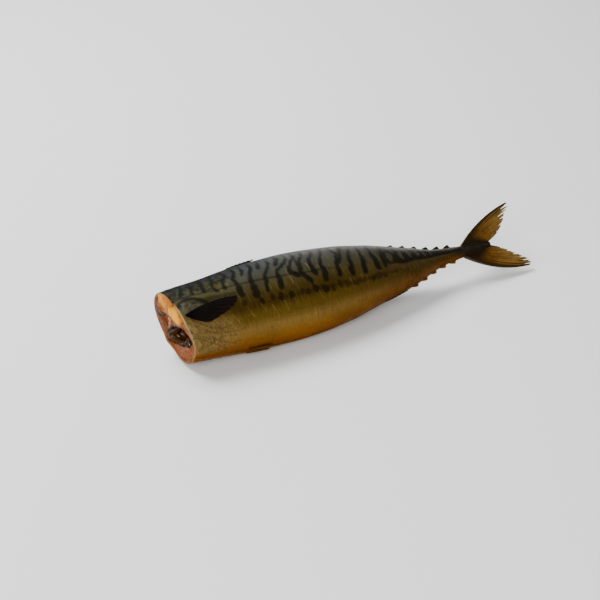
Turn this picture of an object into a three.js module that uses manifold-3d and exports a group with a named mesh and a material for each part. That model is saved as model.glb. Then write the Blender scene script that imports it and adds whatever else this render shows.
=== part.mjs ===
// Smoked mackerel, headed and gutted, lying half on its right flank.
//
// Millimetres, +Z up, resting on the level z = 0 with the origin under its middle.
// The fish is shaped in a frame of its own and then laid down:
//   x from the cut face towards the tail, y towards the back, z towards the left flank,
//   with its origin in the middle of the cut face. An angle round the body starts at the
//   back and grows over the left flank; a negative angle goes over the right flank.
import * as THREE from 'three';
import { mergeVertices } from 'three/addons/utils/BufferGeometryUtils.js';
import Module from 'manifold-3d';

const wasm = await Module();
wasm.setup();

// ---- Driving dimensions -------------------------------------------------------------

const BODY_LENGTH = 281;        // middle of the cut face to the end of the tail stalk
const BODY_DEPTH = 65;          // back to belly, where the fish is deepest
const BODY_WIDTH = 49.5;        // flank to flank, where the fish is widest
const SEAM_GAP = 0.3;           // between a fin and the skin it grows from

const CUT_SLANT = 7.4;          // degrees: the cut leans back from the back to the belly
const CUT_SKEW = 1.5;           // degrees: and a little towards the right flank
const ROLL = 40.6;              // degrees between the level and the direction of the back
const YAW = 1;                  // degrees: the tail swings slightly to the back of the rest
const FLATTENING = 3.7;         // how much of the round underside the resting flat takes off

const SECTION_POWER = 2.2;      // superellipse power of the body's section; 2 is an ellipse
const RESTING_SWELL = 0.09;     // share by which the flesh swells where it spreads over the rest
const RESTING_ANGLE = -121;     // degrees round the body to the middle of that spread
const RESTING_SPREAD = 75;      // degrees over which it fades out

const BELLY_WALL = 5.5;         // flesh and skin left at both ends of the gutted cavity
const CAVITY_DEPTH = 92;        // how far it runs in behind the cut
const CAVITY_HEIGHT = 11.5;     // short way across its mouth
const CAVITY_TILT = 33;         // degrees: the long way climbs from the left belly wall
const CAVITY_DROP = 9;          // its middle lies this far below the body's middle line
const CAVITY_OFFSET = 3;        // and this far towards the right flank
const CAVITY_NARROWING = 0.85;  // share of its section that it has lost at its blind end

const TAIL_ROOT = 27;           // length of stalk end that the two tail lobes grow from
const UPPER_LOBE_LENGTH = 61.5; // front of the root to the furthest tip
const UPPER_LOBE_RISE = 30;     // middle of the stalk to the lobe's highest edge
const LOWER_LOBE_LENGTH = 58.5;
const LOWER_LOBE_DROP = 26;
const LOBE_ROOT_THICKNESS = 2.6;
const LOBE_TIP_THICKNESS = 1;

const FIN_THICKNESS = 1.6;      // the folded fins along the back and the belly
const FINLET_COUNT = 6;         // behind the second dorsal fin
const ANAL_FINLET_COUNT = 5;    // behind the anal fin
const FINLET_HEIGHT = 3.1;
const ANAL_FINLET_HEIGHT = 2.5;
const FINLET_SPACING = 2.2;     // clear skin between two finlets
const TAIL_CLEARANCE = 10;      // clear skin between the last finlet and the tail's root

const FIRST_DORSAL_START = 0.17;   // shares of the body's length, from the cut
const FIRST_DORSAL_LENGTH = 32;
const FIRST_DORSAL_HEIGHT = 2.9;
const SECOND_DORSAL_START = 0.56;
const SECOND_DORSAL_LENGTH = 28;
const SECOND_DORSAL_HEIGHT = 1.9;
const ANAL_START = 0.57;
const ANAL_LENGTH = 32;
const ANAL_HEIGHT = 1.9;

const PECTORAL_ANGLE = 88;      // degrees round the body to the middle of its root
const PECTORAL_INSET = 4;       // skin between the cut and the front of the root
const PECTORAL_LENGTH = 41;     // front of the root to the upper tip
const PECTORAL_BREADTH = 12;    // across the folded fin
const PECTORAL_THICKNESS = 1.1;
const PECTORAL_LIFT = 1.8;      // how far its free edge stands off the skin

const PELVIC_ANGLE = 173.5;
const PELVIC_START = 0.15;      // share of the body's length
const PELVIC_LENGTH = 21;
const PELVIC_BREADTH = 3.6;
const PELVIC_THICKNESS = 0.9;
const PELVIC_LIFT = 0.5;

const BODY_STATIONS = 50;       // sections along the body
const BODY_SIDES = 36;
const CAVITY_STATIONS = 12;
const CAVITY_SIDES = 20;

// Shape of the body from the cut to the stalk's end. Each row is: share of the length,
// share of the greatest depth, share of the greatest width, drop of the middle line.
const BODY_SHAPE = [
  [0.00, 0.835, 0.815, 0.0],
  [0.09, 0.882, 0.87, 0.8],
  [0.20, 0.968, 0.965, 1.4],
  [0.33, 1.000, 1.00, 2.6],
  [0.47, 0.914, 0.925, 3.8],
  [0.605, 0.690, 0.715, 5.0],
  [0.72, 0.445, 0.465, 7.3],
  [0.82, 0.205, 0.225, 7.9],
  [0.88, 0.150, 0.175, 8.2],
  [0.93, 0.132, 0.155, 8.5],
  [0.97, 0.105, 0.115, 8.8],
  [1.00, 0.065, 0.055, 8.9],
];

const SLANT_FADE = 0.25;        // share of the length over which the sections turn square

// ---- Curves and sections ------------------------------------------------------------

const radians = THREE.MathUtils.degToRad;

// A curve through [place, value] pairs that doesn't overshoot between them.
function curveThrough(pairs) {
  const slopes = pairs.slice(1).map(([x, y], i) => (y - pairs[i][1]) / (x - pairs[i][0]));
  const tangents = pairs.map((_, i) => {
    const before = slopes[i - 1] ?? slopes[0];
    const after = slopes[i] ?? slopes[slopes.length - 1];
    return before * after > 0 ? (2 * before * after) / (before + after) : 0;
  });
  return place => {
    const last = pairs.length - 2;
    const i = Math.min(last, Math.max(0, pairs.findIndex(([x]) => x > place) - 1));
    const index = place >= pairs[last + 1][0] ? last : i;
    const [x0, y0] = pairs[index];
    const [x1, y1] = pairs[index + 1];
    const span = x1 - x0;
    const t = THREE.MathUtils.clamp((place - x0) / span, 0, 1);
    const rise = y1 - y0;
    const startSlope = tangents[index] * span;
    const endSlope = tangents[index + 1] * span;
    const bend = startSlope + endSlope - 2 * rise;
    return y0 + startSlope * t + (rise - startSlope - bend) * t * t + bend * t * t * t;
  };
}

const depthShare = curveThrough(BODY_SHAPE.map(row => [row[0], row[1]]));
const widthShare = curveThrough(BODY_SHAPE.map(row => [row[0], row[2]]));
const middleDrop = curveThrough(BODY_SHAPE.map(row => [row[0], row[3]]));

const halfDepth = x => (BODY_DEPTH / 2) * depthShare(x / BODY_LENGTH);
const halfWidth = x => (BODY_WIDTH / 2) * widthShare(x / BODY_LENGTH);
const middle = x => -middleDrop(x / BODY_LENGTH);
const ridge = x => middle(x) + halfDepth(x);
const keel = x => middle(x) - halfDepth(x);

// How far the section's point at (y, z) lies ahead of a square cut.
function slant(x, y, z) {
  const fade = Math.max(0, 1 - x / (SLANT_FADE * BODY_LENGTH));
  return fade * (z * Math.tan(radians(CUT_SKEW)) - y * Math.tan(radians(CUT_SLANT)));
}

// Point of the skin at a distance x from the cut, at an angle round the body.
function skinPoint(x, angle) {
  const away = Math.abs(THREE.MathUtils.euclideanModulo(angle - RESTING_ANGLE + 180, 360) - 180);
  const spread = Math.cos(radians(90) * Math.min(1, away / RESTING_SPREAD)) ** 2;
  const swell = 1 + RESTING_SWELL * spread;
  const round = value => Math.sign(value) * Math.abs(value) ** (2 / SECTION_POWER);
  const y = halfDepth(x) * swell * round(Math.cos(radians(angle)));
  const z = halfWidth(x) * swell * round(Math.sin(radians(angle)));
  return new THREE.Vector3(x + slant(x, y, z), middle(x) + y, z);
}

// The same point lifted off the skin, square to it.
function liftedPoint(x, angle, lift) {
  const step = 0.5;
  const inside = Math.min(Math.max(x, step), BODY_LENGTH - step);
  const along = skinPoint(inside + step, angle).sub(skinPoint(inside - step, angle));
  const round = skinPoint(inside, angle + 1).sub(skinPoint(inside, angle - 1));
  const outward = round.cross(along).normalize();
  return skinPoint(x, angle).addScaledVector(outward, lift);
}

// ---- Solids -------------------------------------------------------------------------

function meshGeometry(points, triangles) {
  const geometry = new THREE.BufferGeometry();
  const numbers = points.flatMap(point => point.toArray());
  geometry.setAttribute('position', new THREE.Float32BufferAttribute(numbers, 3));
  geometry.setIndex(triangles.flat());
  return geometry;
}

// Closed solid through rings of points that run from back to left flank, cut to tail.
function loft(rings) {
  const sides = rings[0].length;
  const points = rings.flat();
  const triangles = [];
  for (let ring = 0; ring < rings.length - 1; ring++) {
    for (let side = 0; side < sides; side++) {
      const a = ring * sides + side;
      const b = ring * sides + (side + 1) % sides;
      triangles.push([a, b, a + sides], [b, b + sides, a + sides]);
    }
  }
  const centre = ring => ring.reduce((sum, point) => sum.add(point), new THREE.Vector3())
    .divideScalar(sides);
  const front = points.push(centre(rings[0])) - 1;
  const rear = points.push(centre(rings[rings.length - 1])) - 1;
  const lastRing = (rings.length - 1) * sides;
  for (let side = 0; side < sides; side++) {
    const next = (side + 1) % sides;
    triangles.push([front, next, side], [rear, lastRing + side, lastRing + next]);
  }
  return meshGeometry(points, triangles);
}

// Closed thin solid between two sheets, each given as rows of points.
function sheetSolid(under, over, mirrored) {
  const rows = under.length;
  const columns = under[0].length;
  const points = [...under.flat(), ...over.flat()];
  const top = rows * columns;
  const at = (row, column) => row * columns + column;
  const triangles = [];
  const quad = (a, b, c, d) => triangles.push([a, b, c], [a, c, d]);
  for (let row = 0; row < rows - 1; row++) {
    for (let column = 0; column < columns - 1; column++) {
      const corners = [at(row, column), at(row, column + 1)];
      corners.push(at(row + 1, column + 1), at(row + 1, column));
      quad(...corners);
      quad(...corners.reverse().map(corner => corner + top));
    }
  }
  const rim = [];
  for (let column = 0; column < columns - 1; column++) rim.push(at(0, column));
  for (let row = 0; row < rows - 1; row++) rim.push(at(row, columns - 1));
  for (let column = columns - 1; column > 0; column--) rim.push(at(rows - 1, column));
  for (let row = rows - 1; row > 0; row--) rim.push(at(row, 0));
  rim.forEach((from, i) => {
    const to = rim[(i + 1) % rim.length];
    quad(from, from + top, to + top, to);
  });
  const turned = mirrored ? triangles.map(([a, b, c]) => [a, c, b]) : triangles;
  return meshGeometry(points, turned);
}

function toSolid(geometry) {
  geometry.deleteAttribute('normal');
  geometry.deleteAttribute('uv');
  const merged = mergeVertices(geometry, 1e-4);
  return new wasm.Manifold(new wasm.Mesh({
    numProp: 3,
    vertProperties: new Float32Array(merged.attributes.position.array),
    triVerts: new Uint32Array(merged.index.array),
  }));
}

function toGeometry(solid) {
  const mesh = solid.getMesh();
  const geometry = new THREE.BufferGeometry();
  geometry.setAttribute('position', new THREE.BufferAttribute(mesh.vertProperties, 3));
  geometry.setIndex(new THREE.BufferAttribute(mesh.triVerts, 1));
  geometry.computeVertexNormals();
  return geometry;
}

// ---- Body ---------------------------------------------------------------------------

function bodyRings(lift) {
  const rings = [];
  for (let station = 0; station < BODY_STATIONS; station++) {
    const x = (BODY_LENGTH * station) / (BODY_STATIONS - 1);
    const ring = [];
    for (let side = 0; side < BODY_SIDES; side++) {
      ring.push(liftedPoint(x, (360 * side) / BODY_SIDES, lift));
    }
    rings.push(ring);
  }
  return rings;
}

// Half of the cavity's long way across at x, measured from its middle, that leaves the
// belly wall standing between its end and the skin.
function cavityReach(x) {
  const [a, b] = [halfDepth(x), halfWidth(x)];
  const [down, out] = [Math.sin(radians(CAVITY_TILT)), Math.cos(radians(CAVITY_TILT))];
  const square = (down / a) ** 2 + (out / b) ** 2;
  const lean = Math.abs((CAVITY_DROP * down) / a ** 2 - (CAVITY_OFFSET * out) / b ** 2);
  const room = 1 - (CAVITY_DROP / a) ** 2 - (CAVITY_OFFSET / b) ** 2;
  return (Math.sqrt(lean ** 2 + square * room) - lean) / square - BELLY_WALL;
}

// Pocket left by gutting: a flattened oval at the cut that narrows to a blind end.
function cavityGeometry() {
  const overshoot = 8;
  const tilt = radians(CAVITY_TILT);
  const rings = [];
  for (let station = 0; station < CAVITY_STATIONS; station++) {
    const share = station / (CAVITY_STATIONS - 1);
    const x = THREE.MathUtils.lerp(-overshoot, CAVITY_DEPTH, share);
    const narrowing = Math.sqrt(1 - CAVITY_NARROWING * share ** 2);
    const ring = [];
    for (let side = 0; side < CAVITY_SIDES; side++) {
      const angle = (2 * Math.PI * side) / CAVITY_SIDES;
      const across = cavityReach(0) * narrowing * Math.sin(angle);
      const up = (CAVITY_HEIGHT / 2) * narrowing * Math.cos(angle);
      const y = middle(x) - CAVITY_DROP + up * Math.cos(tilt) - across * Math.sin(tilt);
      const z = -CAVITY_OFFSET + across * Math.cos(tilt) + up * Math.sin(tilt);
      ring.push(new THREE.Vector3(x, y, z));
    }
    rings.push(ring);
  }
  return loft(rings);
}

// ---- Fins ---------------------------------------------------------------------------

// A flat fin in the fish's middle plane, from its outline in (x, y), thinner at its tip.
function plateFin(outline, thicknessAt) {
  const shape = new THREE.Shape(outline.map(([x, y]) => new THREE.Vector2(x, y)));
  const geometry = new THREE.ExtrudeGeometry(shape, { depth: 1, bevelEnabled: false });
  geometry.translate(0, 0, -0.5);
  const places = geometry.attributes.position;
  for (let i = 0; i < places.count; i++) {
    places.setZ(i, places.getZ(i) * thicknessAt(places.getX(i), places.getY(i)));
  }
  return geometry;
}

// A fin folded down along the back (side 1) or the belly (side -1): it rises to its
// greatest height near the tip and ends in a short free point.
function foldedFin(start, length, height, side) {
  const base = side > 0 ? ridge : keel;
  const buried = 1.6;
  const freePoint = 0.8;      // share of the length where the root ends
  const sunk = x => [x, base(x) - side * buried];
  const raised = (share, rise) => {
    const x = start + length * share;
    return [x, base(x) + side * height * rise];
  };
  const outline = [
    sunk(start), raised(0.08, 0.1), raised(0.35, 0.55), raised(0.65, 0.85),
    raised(0.9, 1), raised(1, 0.95), raised(0.86, 0.35), sunk(start + length * freePoint),
  ];
  return plateFin(side > 0 ? outline.reverse() : outline, () => FIN_THICKNESS);
}

// One lobe of the forked tail: the outline's points are shares of its length and reach,
// from the front of the root round the leading edge and the frayed tips to the fork.
function tailLobe(outline, length, reach, side) {
  const front = BODY_LENGTH - TAIL_ROOT;
  const centre = middle(BODY_LENGTH);
  const place = ([along, out]) => [front + length * along, centre + side * reach * out];
  const buriedFront = [0.04, 0.02];
  const buriedRear = [(0.89 * TAIL_ROOT) / length, 0.01];
  const points = [buriedFront, ...outline, buriedRear].map(place);
  const thicknessAt = (x, y) => {
    const away = Math.hypot((x - front) / length, (y - centre) / reach);
    const share = Math.min(1, away / Math.SQRT2);
    return THREE.MathUtils.lerp(LOBE_ROOT_THICKNESS, LOBE_TIP_THICKNESS, share);
  };
  return plateFin(side > 0 ? points.reverse() : points, thicknessAt);
}

const UPPER_LOBE_OUTLINE = [
  [0.01, 0.19], [0.11, 0.32], [0.25, 0.48], [0.45, 0.70], [0.63, 0.85], [0.78, 0.95],
  [0.87, 0.99], [0.97, 1.00], [0.86, 0.93], [1.00, 0.91], [0.95, 0.84], [0.79, 0.76],
  [0.92, 0.77], [0.85, 0.65], [0.78, 0.61], [0.80, 0.56], [0.72, 0.39], [0.63, 0.26],
  [0.53, 0.14], [0.45, 0.09],
];
const LOWER_LOBE_OUTLINE = [
  [0.00, 0.21], [0.11, 0.38], [0.27, 0.57], [0.43, 0.73], [0.60, 0.88], [0.74, 0.98],
  [0.89, 1.00], [1.00, 0.90], [0.86, 0.86], [0.92, 0.75], [0.82, 0.65], [0.76, 0.64],
  [0.81, 0.57], [0.73, 0.38], [0.67, 0.29], [0.56, 0.18], [0.50, 0.08],
];

// A fin folded back against a flank: its root is a short line at the front, its upper
// edge runs back to the tip and its lower edge drops to the corner of the free edge.
function flankFin({ start, angle, length, breadth, thickness, lift, mirrored }) {
  const columns = 9;
  const rows = 5;
  const upperRise = 0.3;      // shares of the breadth
  const rootBreadth = 0.2;
  const rootRake = 0.04;      // shares of the length
  const cornerReach = 0.37;
  const edgeBow = 0.03;
  const tipThinning = 0.4;    // share of the thickness
  const under = [];
  const over = [];
  for (let row = 0; row < rows; row++) {
    const down = row / (rows - 1);
    const underRow = [];
    const overRow = [];
    for (let column = 0; column < columns; column++) {
      const back = column / (columns - 1);
      const reach = THREE.MathUtils.lerp(1, cornerReach, down) + edgeBow * Math.sin(Math.PI * down);
      const x = start + length * (back * reach + down * rootRake);
      const upper = -upperRise * Math.sin((Math.PI / 2) * back);
      const lower = THREE.MathUtils.lerp(rootBreadth, 1 - upperRise, back);
      const offset = breadth * THREE.MathUtils.lerp(upper, lower, down);
      const round = angle + THREE.MathUtils.radToDeg(offset / halfDepth(x));
      const place = mirrored ? -round : round;
      const clear = SEAM_GAP + lift * back * back;
      underRow.push(liftedPoint(x, place, clear));
      overRow.push(liftedPoint(x, place, clear + thickness * (1 - tipThinning * back)));
    }
    under.push(underRow);
    over.push(overRow);
  }
  return sheetSolid(under, over, mirrored);
}

// ---- Assembly -----------------------------------------------------------------------

const skin = new THREE.MeshStandardMaterial({ color: 0x6f6331, roughness: 0.38, metalness: 0.1 });
const darkFin = new THREE.MeshStandardMaterial({ color: 0x1d1812, roughness: 0.6, metalness: 0 });
const amberFin = new THREE.MeshStandardMaterial({ color: 0x8a5d21, roughness: 0.55, metalness: 0 });

const grownBody = toSolid(loft(bodyRings(SEAM_GAP)));

const fish = new THREE.Group();
fish.rotation.set(radians(ROLL), 0, radians(YAW), 'ZYX');

function addFin(name, geometry, material) {
  const seated = toGeometry(toSolid(geometry).subtract(grownBody));
  const mesh = new THREE.Mesh(seated, material);
  mesh.name = name;
  fish.add(mesh);
}

addFin('tail_fin_upper_lobe',
  tailLobe(UPPER_LOBE_OUTLINE, UPPER_LOBE_LENGTH, UPPER_LOBE_RISE, 1), amberFin);
addFin('tail_fin_lower_lobe',
  tailLobe(LOWER_LOBE_OUTLINE, LOWER_LOBE_LENGTH, LOWER_LOBE_DROP, -1), amberFin);

const firstDorsalFrom = FIRST_DORSAL_START * BODY_LENGTH;
const secondDorsalFrom = SECOND_DORSAL_START * BODY_LENGTH;
const analFrom = ANAL_START * BODY_LENGTH;
addFin('first_dorsal_fin',
  foldedFin(firstDorsalFrom, FIRST_DORSAL_LENGTH, FIRST_DORSAL_HEIGHT, 1), darkFin);
addFin('second_dorsal_fin',
  foldedFin(secondDorsalFrom, SECOND_DORSAL_LENGTH, SECOND_DORSAL_HEIGHT, 1), darkFin);
addFin('anal_fin', foldedFin(analFrom, ANAL_LENGTH, ANAL_HEIGHT, -1), amberFin);

// The finlets share out the skin between the fin in front of them and the tail's root.
function addFinlets(name, rowStart, count, height, side, material) {
  const rowEnd = BODY_LENGTH - TAIL_ROOT - TAIL_CLEARANCE;
  const pitch = (rowEnd - rowStart) / count;
  for (let i = 0; i < count; i++) {
    const from = rowStart + pitch * i + FINLET_SPACING;
    const finlet = foldedFin(from, pitch - FINLET_SPACING, height, side);
    addFin(`${name}_${i + 1}`, finlet, material);
  }
}
addFinlets('dorsal_finlet', secondDorsalFrom + SECOND_DORSAL_LENGTH,
  FINLET_COUNT, FINLET_HEIGHT, 1, darkFin);
addFinlets('anal_finlet', analFrom + ANAL_LENGTH,
  ANAL_FINLET_COUNT, ANAL_FINLET_HEIGHT, -1, amberFin);

for (const [side, mirrored] of [['left', false], ['right', true]]) {
  addFin(`pectoral_fin_${side}`, flankFin({
    start: PECTORAL_INSET,
    angle: PECTORAL_ANGLE,
    length: PECTORAL_LENGTH,
    breadth: PECTORAL_BREADTH,
    thickness: PECTORAL_THICKNESS,
    lift: PECTORAL_LIFT,
    mirrored,
  }), darkFin);
  addFin(`pelvic_fin_${side}`, flankFin({
    start: PELVIC_START * BODY_LENGTH,
    angle: PELVIC_ANGLE,
    length: PELVIC_LENGTH,
    breadth: PELVIC_BREADTH,
    thickness: PELVIC_THICKNESS,
    lift: PELVIC_LIFT,
    mirrored,
  }), darkFin);
}

// Lay the fish down, so that the level z = 0 takes the flat off its underside.
fish.updateMatrixWorld(true);
const bodyGeometry = loft(bodyRings(0));
const lowest = new THREE.Box3().setFromBufferAttribute(
  bodyGeometry.clone().applyMatrix4(fish.matrixWorld).attributes.position).min.z;
fish.position.z = -lowest - FLATTENING;
fish.updateMatrixWorld(true);

// The body is cut where it lies, so that its resting flat is truly level.
const underside = new THREE.BoxGeometry(2 * BODY_LENGTH, 4 * BODY_DEPTH, BODY_DEPTH);
underside.translate(BODY_LENGTH / 2, 0, -BODY_DEPTH / 2);
const laidBody = toSolid(bodyGeometry.applyMatrix4(fish.matrixWorld))
  .subtract(toSolid(cavityGeometry().applyMatrix4(fish.matrixWorld)))
  .subtract(toSolid(underside));
const body = new THREE.Mesh(toGeometry(laidBody), skin);
body.name = 'body';

// The origin is under the middle of the whole fish.
const group = new THREE.Group();
group.add(body, fish);
group.updateMatrixWorld(true);
const reach = new THREE.Box3().setFromObject(group, true);
const middlePoint = reach.getCenter(new THREE.Vector3());
group.position.set(-middlePoint.x, -middlePoint.y, 0);

export default group;
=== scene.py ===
"""Looks of a smoked mackerel, headed and gutted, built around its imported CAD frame.

Everything is worked out in the fish's own axes, in millimetres, and turned into the row's
metres at the end: x runs from the cut to the tail, y to the back, z to the left flank. An
angle round the body starts at the back (0), passes the left flank (90) and reaches the
belly (180); the right flank has negative angles.
"""
import math
from types import SimpleNamespace

import bpy
import numpy as np
from mathutils import Matrix, Vector
from mathutils.bvhtree import BVHTree


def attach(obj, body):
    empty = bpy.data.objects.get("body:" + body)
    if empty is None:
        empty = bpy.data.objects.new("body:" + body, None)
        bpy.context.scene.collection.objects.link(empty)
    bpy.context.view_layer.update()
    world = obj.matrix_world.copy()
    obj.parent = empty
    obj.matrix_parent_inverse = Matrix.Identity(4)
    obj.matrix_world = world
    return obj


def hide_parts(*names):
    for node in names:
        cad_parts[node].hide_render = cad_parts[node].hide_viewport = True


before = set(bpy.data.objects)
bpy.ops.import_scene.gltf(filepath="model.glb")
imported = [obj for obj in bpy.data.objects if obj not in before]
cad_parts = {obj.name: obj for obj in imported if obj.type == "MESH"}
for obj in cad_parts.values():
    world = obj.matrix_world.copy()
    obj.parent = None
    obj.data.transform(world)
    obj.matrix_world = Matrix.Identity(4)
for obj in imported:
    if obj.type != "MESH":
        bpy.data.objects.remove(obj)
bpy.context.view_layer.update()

MM = 0.001

# ---- How the fish lies, as the CAD model lays it ----

ROLL = math.radians(40.6)       # direction of the back above the level
YAW = math.radians(1.0)         # swing of the tail
CUT_SLANT = math.radians(7.4)   # the cut leans back from the back to the belly
CUT_SKEW = math.radians(1.5)
SLANT_FADE = 0.25               # share of the length over which the sections turn square
SECTION_POWER = 2.2             # superellipse power of the sections

AXIS_X = np.array([math.cos(YAW), math.sin(YAW), 0.0])
ACROSS = np.array([-math.sin(YAW), math.cos(YAW), 0.0])
UP = np.array([0.0, 0.0, 1.0])
AXIS_Y = math.cos(ROLL) * ACROSS + math.sin(ROLL) * UP
AXIS_Z = -math.sin(ROLL) * ACROSS + math.cos(ROLL) * UP
AXES = np.stack([AXIS_X, AXIS_Y, AXIS_Z], 1)

# ---- Mesh density ----

STATIONS = 430                  # rings along the skin
SIDES = 288                     # points round it
FACE_RINGS = 56                 # rings from the rim of the cut to the mouth of the cavity
CAVITY_RINGS = 84
CAVITY_LENGTH = 78.0            # mm
FLOOR_GAP = 0.00005             # metres that the lowest skin stays above the floor
TAU = 2 * math.pi


# ---- Small numeric helpers ----

def rise(low, high, value):
    """0 up to low, 1 from high on, and smooth between."""
    t = np.clip((value - low) / (high - low), 0.0, 1.0)
    return t * t * (3 - 2 * t)


def fall(low, high, value):
    """The reverse of rise: 1 up to low, 0 from high on."""
    return 1 - rise(low, high, value)


def bell(value, spread):
    """1 at zero, falling off evenly to both sides."""
    return np.exp(-(value / spread) ** 2)


def oval_distance(u, v, middle_u, middle_v, reach_u, reach_v, tilt=0.0):
    """Distance from the middle of an oval, 1 on its edge; tilt in degrees."""
    c, s = math.cos(math.radians(tilt)), math.sin(math.radians(tilt))
    du, dv = u - middle_u, v - middle_v
    return np.hypot((du * c + dv * s) / reach_u, (dv * c - du * s) / reach_v)


def blur(values, reach, axis, wrap):
    """Gaussian blur of a grid along one axis; reach is the spread in grid steps."""
    half = max(1, int(math.ceil(3 * reach)))
    kernel = np.exp(-0.5 * (np.arange(-half, half + 1) / reach) ** 2)
    kernel /= kernel.sum()
    pad = [(0, 0)] * values.ndim
    pad[axis] = (half, half)
    padded = np.pad(values, pad, mode="wrap" if wrap else "edge")
    return np.apply_along_axis(lambda row: np.convolve(row, kernel, "valid"), axis, padded)


def sample(grid, u, v, ease):
    """Values between the points of a grid that repeats; ease shapes the way from one to the next."""
    iu, iv = np.floor(u).astype(int), np.floor(v).astype(int)
    fu, fv = ease(u - iu), ease(v - iv)
    rows, columns = grid.shape
    low = grid[iu % rows, iv % columns] * (1 - fu) + grid[(iu + 1) % rows, iv % columns] * fu
    iv = iv + 1
    high = grid[iu % rows, iv % columns] * (1 - fu) + grid[(iu + 1) % rows, iv % columns] * fu
    return low * (1 - fv) + high * fv


def noise(u, v, seed):
    """Smooth noise from -1 to 1 on a lattice of unit cells."""
    lattice = np.random.default_rng(seed).uniform(-1, 1, (64, 64))
    return sample(lattice, u, v, lambda share: share * share * (3 - 2 * share))


def round_power(value):
    return np.sign(value) * np.abs(value) ** (2 / SECTION_POWER)


# ---- The CAD body as a smooth surface ----

def node_points(name):
    """Corners of a CAD node in the fish's axes, before the origin is set."""
    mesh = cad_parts[name].data
    points = np.zeros(len(mesh.vertices) * 3)
    mesh.vertices.foreach_get("co", points)
    return (points.reshape(-1, 3) / MM) @ AXES


# Middle of the cut face in the row frame, in mm, where the CAD model puts it.
CUT_MIDDLE = np.array([-155.615, 0.349, 29.446])
ORIGIN = CUT_MIDDLE @ AXES
LENGTH = node_points("body")[:, 0].max() - ORIGIN[0]


def to_row(points):
    """Fish axes in millimetres to the row frame in metres."""
    return ((points + ORIGIN) @ AXES.T) * MM


def extent(name):
    """Lowest and highest corner of a CAD node in the fish's axes."""
    points = node_points(name) - ORIGIN
    return points.min(0), points.max(0)


def cad_tree():
    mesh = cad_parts["body"].data
    points = node_points("body") - ORIGIN
    mesh.calc_loop_triangles()
    faces = [tuple(t.vertices) for t in mesh.loop_triangles]
    return BVHTree.FromPolygons([tuple(p) for p in points], faces)


TREE = cad_tree()
FAR = 120.0


def hit(start, towards):
    """First point of the CAD body on the way from start towards a point, or None."""
    ray = Vector(towards) - Vector(start)
    place = TREE.ray_cast(Vector(start), ray.normalized())[0]
    return None if place is None else np.array(place)


def slant(x, y, z):
    """Shift of a section's point along the body, as the sections lean with the cut."""
    share = np.maximum(0.0, 1 - x / (SLANT_FADE * LENGTH))
    return share * (z * math.tan(CUT_SKEW) - y * math.tan(CUT_SLANT))


def leaning(x, y, z):
    return (x + slant(x, y, z), y, z)


def sections():
    """Middle height, half depth and half width along the body, from rays into the CAD."""
    places = np.linspace(0.4, LENGTH - 0.3, 150)
    rows = []
    for x in places:
        top = hit(leaning(x, FAR, 0), leaning(x, -FAR, 0))
        bottom = hit(leaning(x, -FAR, 0), leaning(x, FAR, 0))
        middle = (top[1] + bottom[1]) / 2
        left = hit(leaning(x, middle, FAR), leaning(x, middle, 0))
        rows.append((middle, (top[1] - bottom[1]) / 2, left[2]))
    table = blur(np.array(rows), 2.2, 0, False)
    return places, table


PLACES, SECTION_TABLE = sections()


def section(x):
    return [np.interp(x, PLACES, SECTION_TABLE[:, i]) for i in range(3)]


def oval(x, angle):
    """Offset from the middle line of the plain section, before the resting flat."""
    _, depth, width = section(x)
    y = depth * round_power(np.cos(angle))
    z = width * round_power(np.sin(angle))
    return y, z


def swell_field():
    """How far the CAD skin lies from the plain section, as a share, on a coarse grid."""
    xs = np.linspace(0.6, LENGTH - 0.4, 110)
    angles = np.linspace(-math.pi, math.pi, 97)[:-1]
    field = np.ones((len(xs), len(angles)))
    for i, x in enumerate(xs):
        middle = section(x)[0]
        for j, angle in enumerate(angles):
            y, z = oval(x, angle)
            out = np.array([slant(x, y, z), y, z])
            centre = np.array([x, middle, 0.0])
            place = hit(centre + 3 * out, centre)
            if place is not None:
                field[i, j] = np.dot(place - centre, out) / np.dot(out, out)
    return xs, angles, blur(blur(field, 1.2, 0, False), 1.1, 1, True)


FIELD_X, FIELD_ANGLE, FIELD = swell_field()


def swell(x, angle):
    """The swell field at any place, by straight interpolation."""
    u = np.clip((x - FIELD_X[0]) / (FIELD_X[1] - FIELD_X[0]), 0, len(FIELD_X) - 1.001)
    v = (angle + math.pi) / TAU * len(FIELD_ANGLE)
    return sample(FIELD, u, v, lambda share: share)


def plain_skin(x, angle):
    """Smooth skin points in the fish's axes for arrays of places and angles."""
    y, z = oval(x, angle)
    share = swell(x, angle)
    y, z = y * share, z * share
    return np.stack([x + slant(x, y, z), section(x)[0] + y, z], -1)


def outward(x, angle):
    """Unit normals of the smooth skin."""
    step = 0.6
    turn = math.radians(1.5)
    inside = np.clip(x, step, LENGTH - step)
    along = plain_skin(inside + step, angle) - plain_skin(inside - step, angle)
    around = plain_skin(inside, angle + turn) - plain_skin(inside, angle - turn)
    normal = np.cross(around, along)
    return normal / np.linalg.norm(normal, axis=-1, keepdims=True)


# ---- Markings ----

ARC = 0.5                       # millimetres of skin to a degree round the body, on average

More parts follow.
